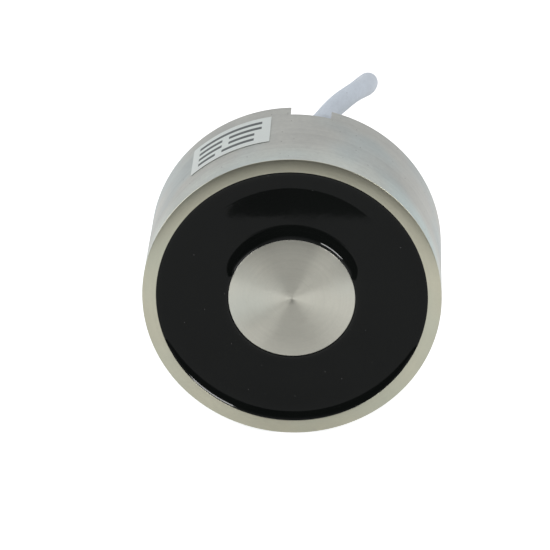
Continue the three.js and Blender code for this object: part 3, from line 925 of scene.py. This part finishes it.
def lead_points():
    """The lead's whole centreline: the route, the coil's turns and the tail inside the coil."""
    points = [Vector(p) * MM for p in LEAD_ROUTE]
    count = round(COIL_TURNS * COIL_POINTS_PER_TURN)
    for step in range(1, count + 1):
        turn = 360 * step / COIL_POINTS_PER_TURN
        lean = math.radians(COIL_FIRST_LEAN - turn / 4)
        distance = COIL_RADIUS + COIL_BUNDLE * math.cos(lean)
        points.append(in_coil(distance, COIL_FIRST_ANGLE + turn, COIL_HEIGHT + COIL_BUNDLE * math.sin(lean)))
    start = COIL_FIRST_ANGLE + 360 * COIL_TURNS
    last_lean = math.radians(COIL_FIRST_LEAN - 90 * COIL_TURNS)
    from_radius = COIL_RADIUS + COIL_BUNDLE * math.cos(last_lean)
    from_height = COIL_HEIGHT + COIL_BUNDLE * math.sin(last_lean)
    drop_steps, tail_steps, height_delay = 10, 5, 0.3
    for step in range(1, drop_steps + 1):
        share = step / drop_steps
        late = max(0, share - height_delay) / (1 - height_delay)
        distance = from_radius + (TAIL_RADIUS - from_radius) * eased(share)
        height = from_height + (TAIL_HEIGHT - from_height) * eased(late)
        points.append(in_coil(distance, start + DROP_ANGLE * share, height))
    for step in range(1, tail_steps + 1):
        points.append(in_coil(TAIL_RADIUS, start + DROP_ANGLE + TAIL_ANGLE * step / tail_steps, TAIL_HEIGHT))
    return points


class MAGNET_OT_lead(PieceOperator, bpy.types.Operator):
    """Adds the jacketed lead with its coil, strap, stripped cores and ferrules."""

    bl_idname = "magnet.lead"
    bl_label = "Lead"

    def execute(self, context):
        diameter = sizes().cable_diameter
        jacket = pvc("jacket_pvc", colours().jacket, 0.40)
        lead = cord_curve("lead_jacket", lead_points(), diameter, jacket, around=10)
        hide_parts("cable_lead", "cable_coil", "cable_tail")
        extras = [add_strap()]
        tin = metal("tinned_copper", colours().tin, 0.28)
        collar = pvc("collar_plastic", colours().collar, 0.45)
        for side, route in (("brown", BROWN_END_ROUTE), ("blue", BLUE_END_ROUTE)):
            insulation = pvc(f"{side}_insulation", getattr(colours(), side), 0.35, 0.0004)
            points = [in_coil(d * MM, a, z * MM) for d, a, z in route]
            core = cord_curve(f"stripped_core_{side}", points, sizes().core_diameter, insulation, around=6)
            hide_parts(f"lead_end_{side}")
            extras += [core, add_ferrule(side, points, collar, tin)]
        return {"FINISHED"}


def add_ferrule(side, points, collar, tin):
    """A crimped ferrule at a core's end: a flared collar and a squared, crimped pin."""
    collar_length, collar_overlap = 5.65, 0.2 * MM
    collar_outline = [
        (1.02, 0.0), (1.42, 0.0), (1.5, 0.12), (1.5, 1.9), (1.42, 2.3),
        (1.12, 5.2), (1.02, 5.6), (0.95, collar_length),
    ]
    pin_outline = [(0.78, 5.66), (0.74, 5.9), (0.72, 13.3), (0.66, 13.55), (0.0, 13.6)]
    direction = (points[-1] - points[-2]).normalized()
    direction.z = 0
    direction.normalize()
    start = points[-1] + direction * GAP - direction * collar_overlap
    up = Vector((0, 0, 1))
    across = up.cross(direction)
    segments, crimp_depth = 32, 0.10
    first_crimped_row = len(collar_outline) + 1

    def build(work):
        rings = []
        for row, (radius, along) in enumerate(collar_outline + pin_outline):
            centre = start + direction * along * MM
            if radius < 1e-6:
                rings.append([work.verts.new(centre)])
                continue
            ring = []
            for i in range(segments):
                turn = 2 * math.pi * i / segments
                crimp = 1.0
                if row >= first_crimped_row:
                    crimp = 1.0 - crimp_depth * abs(math.sin(2 * turn)) ** 3
                reach = radius * crimp * MM
                out = across * math.cos(turn) + up * math.sin(turn)
                ring.append(work.verts.new(centre + out * reach))
            rings.append(ring)
        work.faces.new(reversed(rings[0]))
        for first, second in zip(rings, rings[1:]):
            join_rings(work, first, second)

    mesh = mesh_from(f"ferrule_pin_{side}", build)
    name = f"ferrule_and_collar_{side}"
    piece = finish_mesh(name, mesh, [collar, tin], f"ferrule_{side}", smooth_angle=40)
    pin_start = start + direction * collar_length * MM
    for face in mesh.polygons:
        if (face.center - pin_start).dot(direction) > 0:
            face.material_index = 1
    return piece


def square_loop(half, corner, steps=6):
    """A rounded square's points."""
    flat = half - corner
    points = []
    for quarter, (x, y) in enumerate([(flat, flat), (-flat, flat), (-flat, -flat), (flat, -flat)]):
        for step in range(steps + 1):
            turn = math.pi / 2 * (quarter + step / steps)
            points.append(Vector((x + corner * math.cos(turn), y + corner * math.sin(turn))))
    return points


def add_strap():
    """A narrow nylon strap round the coil's turns, with its lock head and a trimmed end."""
    inner, outer = TIE_HALF_HEIGHT, TIE_HALF_HEIGHT + TIE_THICKNESS
    corner, outer_corner = TIE_CORNER, TIE_CORNER + TIE_THICKNESS
    centre = in_coil(COIL_RADIUS, TIE_ANGLE, COIL_HEIGHT)
    turn = math.radians(TIE_ANGLE)
    out = Vector((math.cos(turn), math.sin(turn), 0))
    along = Vector((-math.sin(turn), math.cos(turn), 0))
    up = Vector((0, 0, 1))
    edge = 0.18 * MM

    def build(work):
        rims = []
        for half, bend, side in (
            (inner, corner, -TIE_WIDTH / 2),
            (outer - edge, outer_corner - edge, -TIE_WIDTH / 2),
            (outer, outer_corner, -TIE_WIDTH / 2 + edge),
            (outer, outer_corner, TIE_WIDTH / 2 - edge),
            (outer - edge, outer_corner - edge, TIE_WIDTH / 2),
            (inner, corner, TIE_WIDTH / 2),
        ):
            rims.append([
                work.verts.new(centre + out * p.x + up * p.y + along * side) for p in square_loop(half, bend)
            ])
        for first, second in zip(rims, rims[1:] + rims[:1]):
            join_rings(work, first, second)

    mesh = mesh_from("coil_strap", build)
    material = pvc("strap_nylon", colours().black, 0.38)
    strap = finish_mesh("coil_strap", mesh, [material], "coil_tie")
    head_at = centre + out * 1.2 * MM + up * (outer + 0.9 * MM)
    head = block("strap_head", head_at, out, along, (6.0 * MM, 4.8 * MM, 2.6 * MM), 0.5 * MM, material)
    end_at = head_at + out * 4.6 * MM - up * 0.2 * MM
    end = block("strap_end", end_at, out, along, (3.4 * MM, 3.8 * MM, 0.8 * MM), 0.2 * MM, material)
    for piece in (head, end):
        piece.parent = strap
    return strap


def block(name, centre, out, along, size, rounding, material):
    """A small moulded block with rounded edges, on the coil."""
    up = Vector((0, 0, 1))

    def build(work):
        bmesh.ops.create_cube(work, size=1.0)
        for vertex in work.verts:
            place = vertex.co.copy()
            vertex.co = centre + out * place.x * size[0] + along * place.y * size[1] + up * place.z * size[2]
        bmesh.ops.bevel(work, geom=list(work.edges), offset=rounding, segments=3, profile=0.5, affect="EDGES")

    return finish_mesh(name, mesh_from(name, build), [material])


class MAGNET_OT_housing(PieceOperator, bpy.types.Operator):
    """Adds the steel pot with its slot and wire hole."""

    bl_idname = "magnet.housing"
    bl_label = "Steel pot"

    def execute(self, context):
        own = sizes()
        outline = rounded([
            (WALL_RADIUS, FRONT_Y, own.rim_round * 0.6),
            (BODY_RADIUS, FRONT_Y, own.rim_round),
            (BODY_RADIUS, REAR_Y, own.rear_round),
            (SPIGOT_RADIUS, REAR_Y, 0.1 * MM),
            (SPIGOT_RADIUS, CHAMBER_REAR_Y, 0.1 * MM),
            (WALL_RADIUS, CHAMBER_REAR_Y, 0.8 * MM),
        ])
        body = turned("steel_pot", outline)
        slot = prism("slot", slot_outline(BODY_RADIUS + 5 * MM), SLOT_FLOOR_Y, REAR_Y + 1 * MM)
        wire_hole = hole_outline(WIRE_HOLE_DISTANCE, SLOT_ANGLE, WIRE_HOLE_RADIUS, 48)
        hole = prism("hole", wire_hole, CHAMBER_REAR_Y - 1 * MM, SLOT_FLOOR_Y + 1 * MM)
        mesh = broken_edges(cut_away(body, [slot, hole]), own.slot_round)
        mesh.materials.clear()
        rim = turned_face("rim_face_steel", (0.90, 0.89, 0.78), 0.29, 0.78, 0.00016)
        pot = finish_mesh("steel_pot", mesh, [zinc_plating(), rim], "pot_housing")
        mark_rim(pot.data)
        return {"FINISHED"}


def mark_rim(mesh):
    """Gives the bare finish to the rim's face and to the inside of its wall."""
    for face in mesh.polygons:
        centre = face.center
        radius = math.hypot(centre.x, centre.z - AXIS_Z)
        facing = centre.y < FRONT_Y + 0.12 * MM
        inside = radius < WALL_RADIUS + 0.2 * MM and centre.y < CHAMBER_REAR_Y
        face.material_index = 1 if facing or inside else 0


def slot_outline(outer_radius):
    """The slot's outline with a round inner end."""
    half = SLOT_WIDTH / 2
    out = Vector((math.sin(SLOT_ANGLE), math.cos(SLOT_ANGLE)))
    across = Vector((math.cos(SLOT_ANGLE), -math.sin(SLOT_ANGLE)))
    axis = Vector((0, AXIS_Z))
    points = [axis + out * outer_radius + across * half, axis + out * outer_radius - across * half]
    steps = 24
    for step in range(steps + 1):
        turn = math.pi + math.pi * step / steps
        points.append(axis + out * (SLOT_END_RADIUS + half * math.sin(turn)) + across * half * math.cos(turn))
    return points


def hole_outline(distance, angle, radius, steps):
    """A round hole's outline, at a distance and a clock angle about the magnet's axis."""
    centre = clock(distance, angle, 0)
    turns = [2 * math.pi * i / steps for i in range(steps)]
    return [(centre.x + radius * math.cos(t), centre.z + radius * math.sin(t)) for t in turns]


class MAGNET_OT_core(PieceOperator, bpy.types.Operator):
    """Adds the centre pole with its faced end and threaded hole."""

    bl_idname = "magnet.core"
    bl_label = "Centre pole"

    def execute(self, context):
        own = sizes()
        rear = REAR_Y
        shoulder = CHAMBER_REAR_Y - GAP
        spigot = SPIGOT_RADIUS - GAP
        thread_end = rear - own.thread_depth + 1.2 * MM
        nub_depth = 0.05 * MM
        outline = [(0, FRONT_Y + nub_depth), (0.3 * MM, FRONT_Y + nub_depth), (0.4 * MM, FRONT_Y)]
        outline += [(r * MM, FRONT_Y) for r in (2, 5, 9, 13)]
        corners = rounded([
            (0, FRONT_Y, 0),
            (CORE_RADIUS, FRONT_Y, own.pole_round),
            (CORE_RADIUS, shoulder, 0.4 * MM),
            (spigot, shoulder, 0.2 * MM),
            (spigot, rear, 0.4 * MM),
            (own.thread_major + 0.15 * MM, rear, 0),
        ])
        outline += corners[1:]
        row_pitch = own.thread_pitch / 12
        rows = int((rear - 0.1 * MM - thread_end) / row_pitch)
        outline += [(own.thread_minor, rear - 0.1 * MM - row * row_pitch) for row in range(rows + 1)]
        outline += [(own.thread_minor, thread_end - 0.2 * MM), (own.thread_minor, rear - own.thread_depth)]
        outline += [(0, rear - own.thread_depth - 1.9 * MM)]
        mesh = turned("centre_pole", outline, wobble=thread_wobble(thread_end))
        face = turned_face("pole_face_steel", (1.00, 1.00, 0.97), 0.34, 0.95, 0.00014)
        body = turned_face("pole_body_steel", (0.92, 0.92, 0.92), 0.36, 0.4, 0.0002)
        pole = finish_mesh("centre_pole", mesh, [face, body], "pole_core")
        for polygon in pole.data.polygons:
            polygon.material_index = 0 if polygon.center.y < FRONT_Y + 0.3 * MM else 1
        return {"FINISHED"}


def thread_wobble(thread_end):
    """The radius of the mounting thread's helix, faded out at its end and opened at its mouth."""
    own = sizes()
    minor, major, pitch = own.thread_minor, own.thread_major, own.thread_pitch
    mouth = REAR_Y - 0.75 * MM

    def wobble(radius, y, turn):
        if abs(radius - minor) > 1e-7 or y < thread_end - 0.1 * MM:
            return radius
        phase = ((REAR_Y - y) / pitch + turn / (2 * math.pi)) % 1.0
        flank = abs(phase - 0.5) * 2
        share = min(1.0, max(0.0, (flank - 0.18) / 0.66))
        share *= min(1.0, (y - thread_end) / pitch) if y < thread_end + pitch else 1.0
        reach = minor + (major - minor) * share
        opened = major + 0.1 * MM - max(0.0, REAR_Y - 0.1 * MM - y)
        return max(reach, opened) if y > mouth else reach

    return wobble


class MAGNET_OT_resin(PieceOperator, bpy.types.Operator):
    """Adds the cast resin between the pole and the rim."""

    bl_idname = "magnet.resin"
    bl_label = "Sealing resin"

    def execute(self, context):
        own = sizes()
        inner, outer = CORE_RADIUS, WALL_RADIUS
        floor = FRONT_Y + own.resin_dip
        climb = own.resin_dip - own.resin_edge
        steps = 28
        shares = [(step / steps) ** 0.6 for step in range(steps + 1)]
        rises = [(1 - u, floor - climb * (0.7 * u ** 1.8 + 0.3 * u ** 7)) for u in shares]
        at_core = [(inner + away * own.core_meniscus, y) for away, y in reversed(rises)]
        at_rim = [(outer - away * own.rim_meniscus, y) for away, y in rises]
        margin = 0.3 * MM
        flat = [(inner + own.core_meniscus + margin, floor), (outer - own.rim_meniscus - margin, floor)]
        outline = at_core + flat + at_rim + [(outer, RESIN_HIGH.y), (inner, RESIN_HIGH.y)]
        mesh = turned("sealing_resin", outline)
        resin = finish_mesh("sealing_resin", mesh, [cast_resin()], "resin_ring")
        bpy.data.collections[RESIN_LAMP].objects.link(resin)
        return {"FINISHED"}


class MAGNET_OT_label(PieceOperator, bpy.types.Operator):
    """Adds the printed film on the rim's side."""

    bl_idname = "magnet.label"
    bl_label = "Label"

    def execute(self, context):
        low, high = label_span()
        columns, rows = 60, 24
        film_lift, film_thickness = 0.14 * MM, 0.08 * MM
        reach = BODY_RADIUS + film_lift

        def build(work):
            grid = []
            for row in range(rows + 1):
                y = LABEL_LOW.y + (LABEL_HIGH.y - LABEL_LOW.y) * row / rows
                grid.append([
                    work.verts.new(clock(reach, low + (high - low) * column / columns, y))
                    for column in range(columns + 1)
                ])
            for near, far in zip(grid, grid[1:]):
                for i in range(columns):
                    work.faces.new((near[i], near[i + 1], far[i + 1], far[i]))

        sheet = placed("work", mesh_from("label_film", build))
        thick = sheet.modifiers.new("thickness", "SOLIDIFY")
        thick.thickness = film_thickness
        thick.offset = 0
        mesh = applied(sheet).data
        bpy.data.objects.remove(sheet)
        finish_mesh("label_film", mesh, [printed_film(low, high)], "rating_label")
        return {"FINISHED"}


def label_span():
    """The label's first and last clock angles, from its box."""
    left = math.atan2(LABEL_LOW.x, LABEL_LOW.z - AXIS_Z)
    right = math.atan2(LABEL_HIGH.x, LABEL_HIGH.z - AXIS_Z)
    return left, right


class MAGNET_OT_winding(PieceOperator, bpy.types.Operator):
    """Adds the spool, the winding, its tape and the insulation washer."""

    bl_idname = "magnet.winding"
    bl_label = "Winding"

    def execute(self, context):
        add_spool()
        add_winding()
        add_tape()
        dress(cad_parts["insulation_washer"], fibre_board())
        return {"FINISHED"}


def dress(piece, material):
    """Gives a CAD node its finished material."""
    piece.data.materials.clear()
    piece.data.materials.append(material)


def add_spool():
    """The moulded spool: rounded flanges, with an exit hole for each end of the wire."""
    inner = CORE_RADIUS + SPOOL_CLEARANCE
    outer = (BOBBIN_HIGH.x - BOBBIN_LOW.x) / 2
    sleeve = inner + SPOOL_WALL
    flange = 1.5 * MM
    soft = 0.35 * MM
    outline = rounded([
        (inner, BOBBIN_LOW.y, soft),
        (outer, BOBBIN_LOW.y, soft),
        (outer, BOBBIN_LOW.y + flange, soft),
        (sleeve, BOBBIN_LOW.y + flange, soft),
        (sleeve, BOBBIN_HIGH.y - flange, soft),
        (outer, BOBBIN_HIGH.y - flange, soft),
        (outer, BOBBIN_HIGH.y, soft),
        (inner, BOBBIN_HIGH.y, soft),
    ])
    holes = []
    wire_exits, exit_radius = ((20.6, -52), (31.4, 58)), 0.75 * MM
    for distance, degrees in wire_exits:
        round_hole = hole_outline(distance * MM, math.radians(degrees), exit_radius, 24)
        holes.append(prism("hole", round_hole, BOBBIN_HIGH.y - flange - 1 * MM, BOBBIN_HIGH.y + 1 * MM))
    mesh = cut_away(turned("spool", outline, 160), holes)
    mesh.materials.clear()
    nylon = pvc("spool_nylon", colours().nylon, 0.5, 0.0008)
    finish_mesh("spool", mesh, [nylon], "bobbin")


def add_winding():
    """The wound copper: its outer layer shows each turn of the wire."""
    wire = sizes().wire_gauge
    inner = CORE_RADIUS + SPOOL_CLEARANCE + SPOOL_WALL + GAP
    outer = (WINDING_HIGH.x - WINDING_LOW.x) / 2
    count = int((WINDING_HIGH.y - WINDING_LOW.y) / wire)
    pitch = (WINDING_HIGH.y - WINDING_LOW.y) / count
    arc_steps = 4
    outline = [(inner, WINDING_HIGH.y), (inner, WINDING_LOW.y)]
    for turn in range(count):
        for step in range(arc_steps + (turn == count - 1)):
            angle = math.pi * step / arc_steps
            y = WINDING_LOW.y + pitch * (turn + 0.5 - 0.5 * math.cos(angle))
            outline.append((outer - wire / 2 + wire / 2 * math.sin(angle), y))
    copper = metal("enamelled_copper", colours().copper, 0.30, 0.0005)
    mesh = turned("wound_copper", outline, 160)
    finish_mesh("wound_copper", mesh, [copper], "copper_winding", smooth_angle=60)


def add_tape():
    """The tape over the winding, with a step where its last lap ends."""
    inner = (WINDING_HIGH.x - WINDING_LOW.x) / 2 + GAP
    outer = (TAPE_HIGH.x - TAPE_LOW.x) / 2
    soft, lap, lap_end = 0.1 * MM, 0.06 * MM, math.radians(300)
    outline = rounded([
        (inner, TAPE_LOW.y, 0),
        (outer, TAPE_LOW.y, soft),
        (outer, TAPE_HIGH.y, soft),
        (inner, TAPE_HIGH.y, 0),
    ], 3)

    def wobble(radius, y, turn):
        if radius < inner + 0.05 * MM:
            return radius
        return radius - lap if turn > lap_end else radius

    mesh = turned("winding_wrap", outline, 192, wobble)
    film = pvc("wrap_polyester", colours().tape, 0.22, 0.0010)
    finish_mesh("winding_wrap", mesh, [film], "winding_tape")


class MAGNET_OT_connections(PieceOperator, bpy.types.Operator):
    """Finishes the sealed cores, splices, wire ends and the slot's sealing compound."""

    bl_idname = "magnet.connections"
    bl_label = "Connections"

    def execute(self, context):
        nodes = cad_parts
        sleeve = pvc("splice_sleeve", colours().black, 0.6)
        for side in ("brown", "blue"):
            insulation = bpy.data.materials[f"{side}_insulation"]
            dress(nodes[f"inner_lead_{side}"], insulation)
            dress(nodes[f"splice_sleeve_{side}"], sleeve)
        copper = bpy.data.materials["enamelled_copper"]
        dress(nodes["winding_start_wire"], copper)
        dress(nodes["winding_finish_wire"], copper)
        dress(nodes["slot_potting"], bpy.data.materials["cast_resin"])
        return {"FINISHED"}


PIECE_OPERATORS = (
    MAGNET_OT_stage,
    MAGNET_OT_lead,
    MAGNET_OT_housing,
    MAGNET_OT_core,
    MAGNET_OT_resin,
    MAGNET_OT_label,
    MAGNET_OT_winding,
    MAGNET_OT_connections,
)


class MAGNET_PT_panel(bpy.types.Panel):
    """Lists the pieces and the stage in the 3D view's sidebar."""

    bl_idname = "MAGNET_PT_panel"
    bl_label = "Holding electromagnet"
    bl_space_type = "VIEW_3D"
    bl_region_type = "UI"
    bl_category = "Magnet"

    def draw(self, context):
        layout = self.layout
        for operator in PIECE_OPERATORS:
            layout.operator(operator.bl_idname)
        for group in (context.scene.magnet_sizes, context.scene.magnet_colours, context.scene.magnet_stage):
            box = layout.box()
            for name in group.__annotations__:
                box.prop(group, name)


GROUPS = {"magnet_sizes": MagnetSizes, "magnet_colours": MagnetColours, "magnet_stage": StageSettings}


def register():
    """Registers the settings, the operators and the panel."""
    for group in GROUPS.values():
        bpy.utils.register_class(group)
    for name, group in GROUPS.items():
        setattr(bpy.types.Scene, name, PointerProperty(type=group))
    for operator in PIECE_OPERATORS:
        bpy.utils.register_class(operator)
    bpy.utils.register_class(MAGNET_PT_panel)


def unregister():
    """Takes out what register adds."""
    bpy.utils.unregister_class(MAGNET_PT_panel)
    for operator in reversed(PIECE_OPERATORS):
        bpy.utils.unregister_class(operator)
    for name, group in GROUPS.items():
        delattr(bpy.types.Scene, name)
        bpy.utils.unregister_class(group)


def main():
    """Builds the stage and every piece."""
    register()
    for operator in PIECE_OPERATORS:
        area, action = operator.bl_idname.split(".")
        getattr(getattr(bpy.ops, area), action)()


if __name__ == "__main__":
    main()
